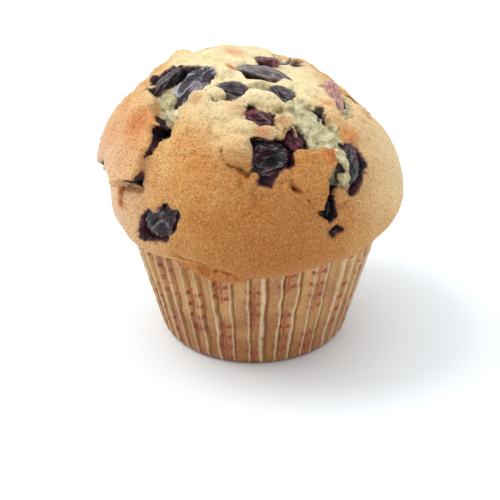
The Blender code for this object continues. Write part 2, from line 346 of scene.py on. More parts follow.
def ease(value, start, end):
    """Runs smoothly from 0 at the start to 1 at the end."""
    share = np.clip((value - start) / (end - start), 0, 1)
    return share * share * (3 - 2 * share)


def bump(share):
    """A smooth bump: 1 at 0, falling to 0 at 1."""
    return np.where(share < 1, (1 - share * share) ** 2, 0)


def patch(towards, azimuth, latitude, reach):
    """A round patch of directions: 1 in its middle, falling to 0 at its reach in degrees."""
    angle = np.degrees(np.arccos(np.clip(towards @ direction(azimuth, latitude), -1, 1)))
    return bump(angle / reach)


def blended_low(a, b, round_off):
    """The lower of two fields, their corner rounded off."""
    share = np.clip(0.5 + 0.5 * (b - a) / round_off, 0, 1)
    return b + (a - b) * share - round_off * share * (1 - share)


def blended_high(a, b, round_off):
    return -blended_low(-a, -b, round_off)


LATTICE = 64


def wander(points, size, seed):
    """Smooth random values from -1 to 1 that change over about a size, at points."""
    table = np.random.default_rng(seed).uniform(-1, 1, LATTICE**3).astype(np.float32)
    cell = points / size
    base = np.floor(cell).astype(np.int32)
    part = (cell - base).astype(np.float32)
    part = part * part * (3 - 2 * part)
    total = np.zeros(points.shape[:-1], np.float32)
    for corner in itertools.product((0, 1), repeat=3):
        slot = (base + np.array(corner, np.int32)) % LATTICE
        weight = np.ones_like(total)
        for axis in range(3):
            weight *= part[..., axis] if corner[axis] else 1 - part[..., axis]
        total += weight * table[(slot[..., 0] * LATTICE + slot[..., 1]) * LATTICE + slot[..., 2]]
    return total


def crown_reach(rise):
    """Distance from the crown's centre to its plain surface, for directions that rise so much."""
    level = np.sqrt(np.maximum(1 - rise * rise, 0)) / CROWN_RADIUS
    upper = (level**CROWN_POWER + (np.maximum(rise, 0) / CROWN_RISE) ** CROWN_POWER) ** (-1 / CROWN_POWER)
    lower = (level**LIP_POWER + (np.maximum(-rise, 0) / LIP_DROP) ** LIP_POWER) ** (-1 / LIP_POWER)
    return np.where(rise >= 0, upper, lower)


def chart_directions():
    steps = np.arange(-CHART_REACH, CHART_REACH + CHART_STEP, CHART_STEP)
    east, north = np.meshgrid(steps, steps, indexing="ij")
    fall = np.maximum(np.hypot(east, north), 1e-6)
    ring = np.sin(np.radians(fall)) / fall
    towards = np.stack((ring * east, ring * north, np.cos(np.radians(fall))), axis=-1)
    return towards.astype(np.float32)


def read_chart(chart, towards):
    """The chart's values in each direction, between its four nearest points."""
    fall = np.degrees(np.arccos(np.clip(towards[:, 2], -1, 1)))
    spread = fall / np.maximum(np.hypot(towards[:, 0], towards[:, 1]), 1e-6)
    place = (towards[:, :2] * spread[:, None] + CHART_REACH) / CHART_STEP
    place = np.clip(place, 0, chart.shape[0] - 1.01)
    cell = place.astype(np.int32)
    part = (place - cell).astype(np.float32)
    i, j = cell.T
    u, v = part.T[:, :, None]
    low = chart[i, j] * (1 - u) + chart[i + 1, j] * u
    high = chart[i, j + 1] * (1 - u) + chart[i + 1, j + 1] * u
    return low * (1 - v) + high * v


FAR = 12.0


def flat_about(towards, middle):
    """Directions as flat places round a middle one, in mm, and which of them are on its side."""
    lengthwise, across = tangents(middle, 0)
    front = towards @ middle
    near = front > 0.5
    depth = np.where(near, front, 1)
    flat = np.stack((towards @ lengthwise / depth, towards @ across / depth), axis=-1)
    return flat * CROWN_RADIUS, near


def laid_flat(towards, line):
    """Directions and a line's corners as flat places round the line's middle, and which are near it."""
    corners = np.array([direction(*corner) for corner in line])
    middle = corners.mean(axis=0)
    middle = middle / np.linalg.norm(middle)
    flat, near = flat_about(towards, middle)
    return flat, near, flat_about(corners, middle)[0]


def nearest_distance(flat, starts, ends):
    """Distance in mm from flat places to the nearest of some straight lines."""
    nearest = np.full(flat.shape[:-1], FAR)
    for start, end in zip(starts, ends):
        along = end - start
        offset = flat - start
        share = np.clip(offset @ along / (along @ along), 0, 1)
        nearest = np.minimum(nearest, np.hypot(*np.moveaxis(offset - share[..., None] * along, -1, 0)))
    return nearest


def line_distance(towards, line):
    """Distance in mm along the crown to a line of directions."""
    flat, near, corners = laid_flat(towards, line)
    return np.where(near, nearest_distance(flat, corners[:-1], corners[1:]), FAR)


def outline_distance(towards, outline):
    """Distance in mm along the crown to an outline, below zero inside it."""
    flat, near, starts = laid_flat(towards, outline)
    ends = np.roll(starts, -1, axis=0)
    nearest = nearest_distance(flat, starts, ends)
    inside = np.zeros(flat.shape[:-1], bool)
    for start, end in zip(starts, ends):
        along = end - start
        offset = flat - start
        spans = (start[1] > flat[..., 1]) != (end[1] > flat[..., 1])
        rise = along[1] if along[1] else 1e-9
        inside ^= spans & (offset[..., 0] < along[0] * offset[..., 1] / rise)
    return np.where(near, np.where(inside, -nearest, nearest), FAR)


def ragged(towards, amounts, seed):
    """Directions pushed about, so that an outline read there is torn: amounts are (size, push) in mm."""
    moved = towards.copy()
    for number, (size, push) in enumerate(amounts):
        for axis in range(3):
            wave = wander(towards * CROWN_RADIUS, size, seed + 10 * number + axis)
            moved[..., axis] += wave * push / CROWN_RADIUS
    return moved / np.linalg.norm(moved, axis=-1, keepdims=True)


# The chart's first layers: reach, opening, depth, toast and stain (which also holds painted shadow in the
# left gap). Two follow for each plate.
FIRST_LAYERS = 5


def draw_chart():
    """All that depends on direction alone, as layers of one chart."""
    towards = chart_directions()
    torn = ragged(towards, TEARS, 100)
    reach = crown_reach(towards[..., 2])
    for azimuth, latitude, spread, height in SWELLINGS:
        reach = reach + height * patch(towards, azimuth, latitude, spread)
    reach += 0.55 * wander(towards * CROWN_RADIUS, 13.0, 1) + 0.16 * wander(towards * CROWN_RADIUS, 4.5, 2)
    # The upper crown is craggy: rounded swells of about 5 mm and 2.4 mm with creases between them.
    latitude = np.degrees(np.arcsin(towards[..., 2]))
    craggy = ease(latitude, 6, 42) * (0.65 + 0.5 * wander(towards * CROWN_RADIUS, 9.0, 3))
    for size, height, seed in CRAGS:
        swells = np.abs(wander(torn * CROWN_RADIUS, size, seed))
        reach += craggy * height * (swells - 0.3)
    opening = np.full(reach.shape, FAR)
    depth = np.full(reach.shape, CRUST_DEPTH)
    stain_and_shade = np.zeros(reach.shape)
    for deepest, at_edge, slope, stain_and_shade_share, outline in OPENINGS.values():
        gap = outline_distance(torn, outline)
        opening = np.minimum(opening, gap)
        own = at_edge + (deepest - at_edge) * ease(-gap, 0, slope)
        depth = np.where(gap < 0, np.where(depth == CRUST_DEPTH, own, np.maximum(depth, own)), depth)
        stain_and_shade = np.maximum(stain_and_shade, stain_and_shade_share * (1 - ease(gap, -0.2, 0.3 + 1.1 * stain_and_shade_share)))
    wavy = ragged(towards, CRACK_WAVES, 200)
    uncracked = reach
    for half_width, deepest, line in CRACKS:
        reach = reach - deepest * bump(line_distance(wavy, line) / half_width)
    toast = np.zeros(reach.shape)
    for azimuth, latitude, spread, strength in TOASTED:
        toast = np.maximum(toast, strength * patch(towards, azimuth, latitude, spread))
    layers = [reach, opening, depth, toast, stain_and_shade]
    for _, lift, tilt, lifts_towards, _, outline in PLATES.values():
        middle = np.mean([direction(*corner) for corner in outline], axis=0)
        slope_along = direction(*lifts_towards) - middle / np.linalg.norm(middle)
        slope_along = slope_along / np.linalg.norm(slope_along)
        run = (towards @ slope_along - middle @ slope_along) * CROWN_RADIUS / 8.0
        layers.append(outline_distance(torn, outline))
        layers.append(uncracked + lift + tilt * np.clip(run, -1.4, 1.4))
    return np.stack(layers, axis=-1).astype(np.float32)


# ---------------------------------------------------------------- berries of the frame

def berry_frame(name):
    """Centre, half-sizes and axes of a packed berry: lengthwise, across and out of the crown."""
    points = np.array([vertex.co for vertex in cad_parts[name].data.vertices]) / MM
    centre = (points.min(axis=0) + points.max(axis=0)) / 2
    outward = centre - CROWN_CENTRE
    outward = outward / np.linalg.norm(outward)
    level, across = tangents(outward, 0)
    offset = points - centre
    flat = np.stack((offset @ level, offset @ across))
    values, vectors = np.linalg.eigh(flat @ flat.T)
    lengthwise = vectors[0, 1] * level + vectors[1, 1] * across
    axes = np.array((lengthwise, np.cross(outward, lengthwise), outward))
    return centre, np.abs(offset @ axes.T).max(axis=0), axes


def egg_field(points, centre, halves, axes):
    """Nearly the distance to an egg shape's surface, below zero inside."""
    local = (points - centre) @ axes.T
    scaled = np.linalg.norm(local / halves, axis=-1)
    steeper = np.linalg.norm(local / halves**2, axis=-1)
    return scaled * (scaled - 1) / np.maximum(steeper, 1e-6)


# ---------------------------------------------------------------- the cake's field

def crumb_texture(points):
    """Open, lumpy crumb: how far its surface stands in, in mm. Creases part its rounded lumps."""
    lumps = 1.0 - 2.6 * np.abs(wander(points, 3.0, 11))
    bits = 0.45 - 1.3 * np.abs(wander(points, 1.4, 12))
    holes = np.maximum(wander(points, 2.0, 13) - 0.45, 0) * 2.4
    return 0.9 * lumps + 0.8 * bits + holes


def wall_radius(height):
    return BASE_RADIUS + WALL_FLARE * height


def add_lumps(lumps, chart, points, grain, texture, field, under, stain_and_shade):
    """Joins rounded lumps of crust or crumb to the field, and notes what their surface is."""
    for kind, azimuth, latitude, height, length, width, rise, turn in lumps:
        outward = direction(azimuth, latitude)
        foot = read_chart(chart, outward[None].astype(np.float32))[0, 0]
        centre = CROWN_CENTRE + outward * (foot + height)
        near = np.linalg.norm(points - centre, axis=1) < max(length, width, rise) + 2.5
        lengthwise, across = tangents(outward, turn)
        axes = np.array((lengthwise, across, outward))
        lump = egg_field(points[near], centre, np.array((length, width, rise)), axes)
        lump += (grain[near] * 2 if kind == "crust" else 0.55 * texture[near])
        own = lump < field[near]
        under[near] = np.where(own, 0.0 if kind == "crust" else FAR, under[near])
        stain_and_shade[near] *= np.where(own, 0.25, 1.0)
        field[near] = blended_low(field[near], lump, 0.9)


def cake_parts(points, chart, berries):
    """The crown's field at points in mm, and for each point how deep it lies under its own crust."""
    offset = points - CROWN_CENTRE
    reach_out = np.linalg.norm(offset, axis=1)
    towards = offset / np.maximum(reach_out, 1e-6)[:, None]
    layers = read_chart(chart, towards)
    reach, opening, depth, toast, stain_and_shade = layers[:, :FIRST_LAYERS].T.copy()
    texture = crumb_texture(points)
    grain = 0.14 * wander(points, 1.0, 14)
    crust = blended_high(reach_out - reach + grain, -opening, CRUST_EDGE)
    floor = reach_out - reach + depth + texture * ease(-opening, -0.2, 0.8)
    field = blended_low(crust, floor, 0.4)
    under = np.where(crust < floor + 0.05, reach - reach_out, FAR)
    for number, (kind, _, _, _, edge, _) in enumerate(PLATES.values()):
        gap, top = layers[:, FIRST_LAYERS + 2 * number : FIRST_LAYERS + 2 * number + 2].T
        rough = grain if kind == "crust" else 0.7 * texture
        plate = blended_high(blended_high(reach_out - top + rough, gap, edge), reach - 4.5 - reach_out, 1.0)
        own = np.minimum(top - reach_out, 0.9) if kind == "crust" else np.full(len(points), FAR)
        under = np.where(plate < field, own, under)
        stain_and_shade = np.where((plate < field + 0.1) & (top - reach_out < 1.4), 0, stain_and_shade)
        field = blended_low(field, plate, 0.4)
    add_lumps(LUMPS, chart, points, grain, texture, field, under, stain_and_shade)
    juice_and_shade = stain_and_shade
    for name, (centre, halves, axes) in berries.items():
        near = np.linalg.norm(points - centre, axis=1) < halves.max() + 6
        egg = egg_field(points[near], centre, halves, axes)
        pocket = -blended_high(egg + 0.2, opening[near] - 0.5, 0.6)
        field[near] = blended_high(field[near], pocket, 0.4)
        run = BERRIES[name][3]
        juice_and_shade[near] = np.maximum(juice_and_shade[near], 0.9 * (1 - ease(egg, -0.3, run)))
    add_lumps(COVERS, chart, points, grain, texture, field, under, juice_and_shade)
    smear = smear_field(points)
    under = np.where(smear < field, 0.5, under)
    toast = np.where(smear < field, 0.45, toast)
    field = blended_low(field, smear, 0.5)
    return field, under, opening, juice_and_shade, toast


# Batter that ran over the case's rim: the azimuth of its middle, how many degrees it spreads, and the
# height in mm of its lowest point.
SMEAR_AZIMUTH = -17
SMEAR_SPREAD = 22
SMEAR_LOW = 28.5


def smear_field(points):
    """Batter that ran over the case's rim at the front left and baked onto the paper."""
    around = np.hypot(points[:, 0], points[:, 1])
    azimuth = np.degrees(np.arctan2(points[:, 0], -points[:, 1]))
    aside = np.abs((azimuth - SMEAR_AZIMUTH) / SMEAR_SPREAD)
    low_edge = SMEAR_LOW + 2.2 * wander(points, 4.0, 21) + 5.5 * aside**2.4
    spread = ease(points[:, 2], low_edge, low_edge + 1.6)
    rough = 1.1 * wander(points, 1.2, 22) + 0.9 * wander(points, 2.4, 23)
    skin = around - wall_radius(points[:, 2]) + 1.2 - 2.6 * spread + rough
    return np.maximum(skin, points[:, 2] - CASE_HEIGHT - 1)


def foot_field(points):
    """The cake inside the case: a flaring plug with a flat floor."""
    around = np.hypot(points[:, 0], points[:, 1])
    side = (around - wall_radius(points[:, 2]) + FOOT_CLEARANCE) * math.cos(math.atan(WALL_FLARE))
    ends = np.maximum(FOOT_FLOOR - points[:, 2], points[:, 2] - FOOT_TOP)
    return blended_high(side, ends, 1.0)


def net_over(field, axes):
    """Points and four-sided faces of a net over a field's zero level."""
    solid = field < 0
    sizes = [count - 1 for count in field.shape]
    corners = list(itertools.product((0, 1), repeat=3))
    filled = np.zeros(sizes, np.int8)
    for corner in corners:
        filled += solid[tuple(slice(c, c + size) for c, size in zip(corner, sizes))]
    mixed = (filled > 0) & (filled < 8)
    cells = np.argwhere(mixed)
    number = np.full(sizes, -1, np.int32)
    number[mixed] = np.arange(len(cells))
    total = np.zeros((len(cells), 3))
    crossings = np.zeros(len(cells))
    for start, end in itertools.combinations(corners, 2):
        if sum(a != b for a, b in zip(start, end)) != 1:
            continue
        ends = []
        for corner in (start, end):
            index = cells + corner
            place = np.stack([axes[k][index[:, k]] for k in range(3)], axis=1)
            ends.append((field[tuple(index.T)], place))
        (a, from_place), (b, to_place) = ends
        crosses = (a < 0) != (b < 0)
        share = np.where(crosses, a / np.where(crosses, a - b, 1), 0)
        total += (from_place + share[:, None] * (to_place - from_place)) * crosses[:, None]
        crossings += crosses
    points = total / crossings[:, None]
    faces = []
    for axis in range(3):
        low = [slice(1, -1)] * 3
        high = [slice(1, -1)] * 3
        low[axis] = slice(0, -1)
        high[axis] = slice(1, None)
        edges = np.argwhere(solid[tuple(low)] != solid[tuple(high)])
        shift = np.array([0 if k == axis else 1 for k in range(3)])
        edges = edges + shift
        second, third = (axis + 1) % 3, (axis + 2) % 3
        ring = []
        for back_second, back_third in ((1, 1), (0, 1), (0, 0), (1, 0)):
            cell = edges.copy()
            cell[:, second] -= back_second
            cell[:, third] -= back_third
            ring.append(number[tuple(cell.T)])
        quads = np.stack(ring, axis=1)
        outward = solid[tuple(edges.T)]
        faces.append(np.where(outward[:, None], quads, quads[:, ::-1]))
    return points, np.concatenate(faces)


def largest_part(points, faces):
    """Drops every bit of the net that isn't joined to its largest part."""
    label = np.arange(len(points))
    while True:
        lowest = label[faces].min(axis=1)
        joined = label.copy()
        for column in faces.T:
            np.minimum.at(joined, column, lowest)
        joined = joined[joined]
        if (joined == label).all():
            break
        label = joined
    main = np.bincount(label).argmax()
    keep = label == main
    number = np.cumsum(keep) - 1
    return points[keep], number[faces[keep[faces[:, 0]]]]


def fill_bare_edges(field):
    """Fills in the spots where the cake would meet itself along a bare edge, so its skin is sound."""
    whole, near, far = slice(None), slice(0, -1), slice(1, None)
    for _ in range(8):
        filled = 0
        for axis in range(3):
            squares = []
            for first, second in itertools.product((near, far), repeat=2):
                place = [whole] * 3
                place[(axis + 1) % 3] = first
                place[(axis + 2) % 3] = second
                squares.append(field[tuple(place)])
            a, b, c, d = squares
            for one, other, gap, across in ((a, d, b, c), (b, c, a, d)):
                bare = (one < 0) & (other < 0) & (gap >= 0) & (across >= 0)
                gap[bare] = -0.02
                filled += bare.sum()
        if not filled:
            break


def sculpt_cake(chart, berries):
    """The whole cake's net, and what each of its points is made of."""
    side = CROWN_RADIUS + 5
    across = np.arange(-side, side + NET_STEP, NET_STEP)
    back = np.concatenate((
        np.arange(-side, BACK_FROM, NET_STEP),
        np.arange(BACK_FROM + 0.2, side + BACK_STEP, BACK_STEP)))
    heights = np.concatenate((
        np.arange(-0.4, CROWN_FROM, FOOT_STEP),
        np.arange(CROWN_FROM + 0.2, LIP_UP_TO, LIP_STEP),
        np.arange(LIP_UP_TO + 0.2, CROWN_CENTRE[2] + CROWN_RISE + 5, NET_STEP)))
    x, y, z = np.meshgrid(across, back, heights, indexing="ij")
    points = np.stack((x, y, z), axis=-1).reshape(-1, 3).astype(np.float32)
    offset = points - CROWN_CENTRE.astype(np.float32)
    reach_out = np.linalg.norm(offset, axis=1)
    plain = reach_out - crown_reach(offset[:, 2] / np.maximum(reach_out, 1e-6))
    crown = np.clip(plain, -BAND, BAND)
    near = np.abs(plain) < BAND
    near &= points[:, 2] > CROWN_FROM
    crown[near] = cake_parts(points[near], chart, berries)[0]
    field = blended_low(crown, foot_field(points), 0.6)
    field = field.reshape(x.shape)
    fill_bare_edges(field)
    found, faces = net_over(field, (across, back, heights))
    return largest_part(found, faces)


def new_object(name, data):
    thing = bpy.data.objects.new(name, data)
    bpy.context.scene.collection.objects.link(thing)
    return thing


def new_mesh(name, points, faces, layers):
    """A smooth-shaded object from points in mm, with named numbers on its points."""
    mesh = bpy.data.meshes.new(name)
    mesh.from_pydata((points * MM).tolist(), [], faces.tolist())
    for layer, values in layers.items():
        attribute = mesh.attributes.new(layer, "FLOAT", "POINT")
        attribute.data.foreach_set("value", np.asarray(values, np.float32))
    mesh.shade_smooth()
    mesh.update()
    return new_object(name, mesh)


def make_cake(chart, berries):
    points, faces = sculpt_cake(chart, berries)
    field, under, opening, juice_and_shade, toast = cake_parts(points.astype(np.float32), chart, berries)
    crumb = ease(under, 0.8, 1.7)
    patchy = 0.5 + 0.5 * wander(points, 2.4, 31)
    torn_open = np.maximum(crumb, ease(-opening, -1.2, 0.2))
    uneven = 1 + (0.6 * patchy - 0.4) * np.minimum(2 * (1 - juice_and_shade), 1)
    juice_and_shade = np.clip(juice_and_shade * uneven * (0.3 + 0.7 * torn_open), 0, 1)
    # Painted light: the crown is paled over its top and at the right, where the light falls strongest, and
    # browned most at the front, partly as real browning and partly as painted shade.
    offset = points - CROWN_CENTRE
    towards = offset / np.linalg.norm(offset, axis=1)[:, None]
    latitude = np.degrees(np.arcsin(towards[:, 2]))
    light = ease(latitude + 7 * wander(points, 9.0, 32), 30, 64)
    light = np.maximum(light, 0.5 * patch(towards, 78, 24, 50))
    browned_and_shaded = patch(towards, 8, 0, 62)
    # Painted reflection of the white surroundings: a pale pink tint at the left side, weaker at the right.
    painted_side_light = patch(towards, -76, 0, 52) + 0.3 * patch(towards, 84, 16, 52)
    layers = {"crumb": crumb, "juice_and_shade": juice_and_shade, "toast": toast, "painted_light": light}
    layers |= {"browned_and_shaded": browned_and_shaded, "painted_side_light": painted_side_light}
    return new_mesh("cake_crown_and_foot", points, faces, layers)


# ---------------------------------------------------------------- baked berries

def make_berry(name, seed):
    """A burst, wrinkled berry in place of its plain solid."""
    centre, halves, axes = berry_frame(name)
    burst, shrunk, _, _, drawn = BERRIES[name]
    builder = bmesh.new()
    bmesh.ops.create_icosphere(builder, subdivisions=5, radius=1.0)
    mesh = bpy.data.meshes.new(name + "_baked")
    builder.to_mesh(mesh)
    builder.free()
    ball = np.array([vertex.co for vertex in mesh.vertices])
    local = ball * halves * np.array((drawn, 1.0, 1.0))
    outer = np.clip(ball[:, 2], 0, 1)
    middle = np.exp(-(ball[:, 0] ** 2 + ball[:, 1] ** 2) / 0.35)
    stretched = local * np.array((0.25, 1.0, 1.0)) + seed * 7.3
    folds = 1 - np.abs(wander(stretched, 1.2, 40 + seed)) * 2.4
    fine = 1 - np.abs(wander(local * np.array((0.45, 1.0, 1.0)) + seed, 0.7, 70 + seed)) * 2.4
    swell = wander(local + seed * 3.1, 3.2, 90 + seed)
    push = (0.42 + 0.3 * burst) * folds + 0.26 * fine + 0.7 * swell - 0.55
    local += ball * (push * (0.35 + 0.65 * outer))[:, None]
    local[:, 2] -= burst * 0.75 * halves[2] * middle * outer
    local[:, 2] -= shrunk * outer
    # A long berry lies bent along the crown.
    local[:, 2] -= local[:, 0] ** 2 / (2 * CROWN_RADIUS)
    placed = (centre + local @ axes) * MM
    mesh.vertices.foreach_set("co", placed.ravel())
    along = mesh.attributes.new("along", "FLOAT_VECTOR", "POINT")
    along.data.foreach_set("vector", (local * MM).astype(np.float32).ravel())
    raised = mesh.attributes.new("fold", "FLOAT", "POINT")
    raised.data.foreach_set("value", np.clip(0.5 + 0.5 * folds, 0, 1).astype(np.float32))
    mesh.shade_smooth()
    mesh.update()
    return new_object(name + "_baked", mesh)


# ---------------------------------------------------------------- trees of nodes

def colour(code):
    """Linear colour of an sRGB hex value."""
    parts = [int(code[i : i + 2], 16) / 255 for i in (1, 3, 5)]
    linear = [p / 12.92 if p <= 0.04045 else ((p + 0.055) / 1.055) ** 2.4 for p in parts]
    return (*linear, 1.0)


def connect(tree, node, links):
    """Feeds a node's inputs, each from a value, a hex colour or another node's socket."""
    for key, value in links.items():
        if isinstance(value, bpy.types.Node):
            value = value.outputs[0]
        if isinstance(value, bpy.types.NodeSocket):
            tree.links.new(value, node.inputs[key])
        elif isinstance(value, str) and value.startswith("#"):
            node.inputs[key].default_value = colour(value)
        else:
            node.inputs[key].default_value = value


def add(tree, kind, links=None, **settings):
    """Adds a node with its settings and links."""
    node = tree.nodes.new(kind)
    for name, value in settings.items():
        setattr(node, name, value)
    connect(tree, node, links or {})
    return node


# Kinds of node that are used throughout, and the socket numbers of a Mix node that mixes colours.
MATH = "ShaderNodeMath"
RAMP = "ShaderNodeMapRange"
MIX = "ShaderNodeMix"
NOISE = "ShaderNodeTexNoise"
COVER, UNDER, OVER, MIXED = 0, 6, 7, 2


def within_repeat(tree, value, size):
    """Where a value stands in a pattern that repeats every so much, measured from its middle."""
    steps = (("MULTIPLY", 1 / size), ("FRACT", 0.0), ("SUBTRACT", 0.5), ("MULTIPLY", size))
    for operation, amount in steps:
        value = add(tree, MATH, {0: value, 1: amount}, operation=operation)
    return value


def new_material(name):
    """A material's tree with its Principled BSDF."""
    material = bpy.data.materials.new(name)
    material.use_nodes = True
    return material, material.node_tree, material.node_tree.nodes["Principled BSDF"]


def per_mm(size):
    """The scale at which a texture's pattern measures a size in mm, on coordinates in metres."""
    return 1 / (size * MM)


# ---------------------------------------------------------------- the paper case

PAPER = {
    "Pleats": PLEATS,
    "Columns": PLEATS * 14 + 1,
    "Floor Share": 0.14,
    "Rows": 48,
    "Base Radius": BASE_RADIUS * MM,
    "Flare": WALL_FLARE,
    "Height": (CASE_HEIGHT - 0.2) * MM,
    "Ridge Height": 1.3 * MM,
    "Fold Depth": 1.1 * MM,
    "Wobble": 0.5,
    "Corner": 1.6 * MM,
}
PAPER_THICKNESS = 0.14 * MM
PRINT_GIRTH = 2 * math.pi * 29 * MM


def case_tree(material):
    """Geometry nodes for the case's one skin of paper: a flat floor and a wall of uneven pleats."""
    tree = bpy.data.node_groups.new("pleated_case", "GeometryNodeTree")
    for name, value in PAPER.items():
        kind = "NodeSocketInt" if isinstance(value, int) else "NodeSocketFloat"
        tree.interface.new_socket(name, in_out="INPUT", socket_type=kind).default_value = value
    tree.interface.new_socket("Geometry", in_out="OUTPUT", socket_type="NodeSocketGeometry")
    given = add(tree, "NodeGroupInput").outputs
    sheet = add(tree, "GeometryNodeMeshGrid", {
        "Size X": 1.0, "Size Y": 1.0, "Vertices X": given["Columns"], "Vertices Y": given["Rows"]})
    spot = add(tree, "ShaderNodeSeparateXYZ", {0: add(tree, "GeometryNodeInputPosition")})
    around = add(tree, MATH, {0: spot.outputs["X"], 1: 0.5}, operation="ADD")
    up = add(tree, MATH, {0: spot.outputs["Y"], 1: 0.5}, operation="ADD")
    angle = add(tree, MATH, {0: around, 1: 2 * math.pi}, operation="MULTIPLY")
    east = add(tree, MATH, {0: angle}, operation="COSINE")
    north = add(tree, MATH, {0: angle}, operation="SINE")
    # The floor takes the first share of the rows, and the wall the rest.
    floor_part = add(tree, RAMP, {0: up, 1: 0.0, 2: given["Floor Share"]})
    wall_part = add(tree, RAMP, {0: up, 1: given["Floor Share"], 2: 1.0})
    height = add(tree, MATH, {0: wall_part, 1: given["Height"]}, operation="MULTIPLY")
    # The wall curves in to meet the floor.
    low = add(tree, MATH, {0: height, 1: given["Corner"]}, operation="DIVIDE", use_clamp=True)
    tuck = add(tree, MATH, {0: 1.0, 1: low}, operation="SUBTRACT")
    tuck = add(tree, MATH, {0: tuck, 1: 2.0}, operation="POWER")
    widening = {0: height, 1: given["Flare"], 2: given["Base Radius"]}
    radius = add(tree, MATH, widening, operation="MULTIPLY_ADD")
    radius = add(tree, MATH, {0: tuck, 1: -0.9 * MM, 2: radius}, operation="MULTIPLY_ADD")
    radius = add(tree, MATH, {0: radius, 1: floor_part}, operation="MULTIPLY")
    # Pleats wander sideways as they rise, each in its own way, are unevenly wide, and are crinkled.
    spiral = add(tree, "ShaderNodeCombineXYZ", {0: east, 1: north, 2: wall_part})
    level = add(tree, "ShaderNodeCombineXYZ", {0: east, 1: north, 2: 3.0})
    shaken = []
    for place, scale, detail, amount in (
            (spiral, 6.0, 2.0, given["Wobble"]), (level, 9.0, 1.0, 0.9), (spiral, 22.0, 2.0, 0.35 * MM)):
        shake = add(tree, NOISE, {"Vector": place, "Scale": scale, "Detail": detail})
        shake = add(tree, MATH, {0: shake, 1: 0.5}, operation="SUBTRACT")
        shaken.append(add(tree, MATH, {0: shake, 1: amount}, operation="MULTIPLY"))
    sway, uneven, crinkle = shaken
    turns = add(tree, MATH, {0: around, 1: given["Pleats"], 2: sway}, operation="MULTIPLY_ADD")
    turns = add(tree, MATH, {0: turns, 1: uneven}, operation="ADD")
    phase = add(tree, MATH, {0: turns}, operation="FRACT")
    phase = add(tree, MATH, {0: phase, 1: 0.5}, operation="SUBTRACT")
    from_ridge = add(tree, MATH, {0: phase}, operation="ABSOLUTE")
    ridge = add(tree, RAMP, {0: from_ridge, 1: 0.2, 2: 0.0})
    from_fold = add(tree, MATH, {0: phase, 1: 0.22}, operation="SUBTRACT")
    from_fold = add(tree, MATH, {0: from_fold}, operation="ABSOLUTE")
    fold = add(tree, RAMP, {0: from_fold, 1: 0.15, 2: 0.0}, interpolation_type="SMOOTHSTEP")
    lift = add(tree, MATH, {0: ridge, 1: given["Ridge Height"]}, operation="MULTIPLY")
    drop = add(tree, MATH, {0: fold, 1: given["Fold Depth"]}, operation="MULTIPLY")
    lift = add(tree, MATH, {0: lift, 1: drop}, operation="SUBTRACT")
    # Pleats are shallow where the wall meets the floor, and full towards the rim.
    strength = add(tree, RAMP, {0: wall_part, 1: 0.0, 2: 0.75, 3: 0.22, 4: 1.0})
    for amount in (strength, low):
        lift = add(tree, MATH, {0: lift, 1: amount}, operation="MULTIPLY")
    crinkle = add(tree, MATH, {0: crinkle, 1: low}, operation="MULTIPLY")
    for amount in (lift, crinkle):
        radius = add(tree, MATH, {0: radius, 1: amount}, operation="ADD")
    place = add(tree, "ShaderNodeCombineXYZ", {
        0: add(tree, MATH, {0: east, 1: radius}, operation="MULTIPLY"),
        1: add(tree, MATH, {0: north, 1: radius}, operation="MULTIPLY"),
        2: height})
    # How far round and how far up each corner is, in metres of paper, for the print, and whether it
    # is on a crest (1) or in a fold (-1), for the painted highlight on crests and painted shade in folds.
    girth = add(tree, MATH, {0: around, 1: PRINT_GIRTH}, operation="MULTIPLY")
    crest = add(tree, MATH, {0: ridge, 1: fold}, operation="SUBTRACT")
    printed = add(tree, "ShaderNodeCombineXYZ", {0: girth, 1: height, 2: crest})
    case = add(tree, "GeometryNodeStoreNamedAttribute", {
        "Geometry": sheet.outputs["Mesh"], "Name": "print", "Value": printed},
        data_type="FLOAT_VECTOR", domain="CORNER")
    case = add(tree, "GeometryNodeSetPosition", {"Geometry": case, "Position": place})
    case = add(tree, "GeometryNodeMergeByDistance", {"Geometry": case, "Distance": 0.01 * MM})
    case = add(tree, "GeometryNodeSetShadeSmooth", {"Geometry": case})
    case = add(tree, "GeometryNodeRealizeInstances", {"Geometry": case})
    case = add(tree, "GeometryNodeSetMaterial", {"Geometry": case, "Material": material})
    add(tree, "NodeGroupOutput", {"Geometry": case})
    return tree


def run_tree(name, tree, values):
    """The mesh that a tree of geometry nodes gives for its named inputs, as a plain object."""
    holder = new_object(name + "_maker", bpy.data.meshes.new(name + "_maker"))
    maker = holder.modifiers.new("maker", "NODES")
    maker.node_group = tree
    for item in tree.interface.items_tree:
        if item.in_out == "INPUT" and item.name in values:
            maker[item.identifier] = values[item.name]
    made = bpy.data.meshes.new_from_object(
        holder.evaluated_get(bpy.context.evaluated_depsgraph_get()))
    bpy.data.objects.remove(holder)
    made.name = name
    return new_object(name, made)


def make_case(material):
    """The pleated sheet of paper, given its thickness."""
    case = run_tree("pleated_paper_case", case_tree(material), PAPER)
    builder = bmesh.new()
    builder.from_mesh(case.data)
    bmesh.ops.recalc_face_normals(builder, faces=builder.faces)
    builder.to_mesh(case.data)
    builder.free()
    paper = case.modifiers.new("thickness", "SOLIDIFY")
    paper.thickness = PAPER_THICKNESS
    paper.offset = -1
    return case


# ---------------------------------------------------------------- materials

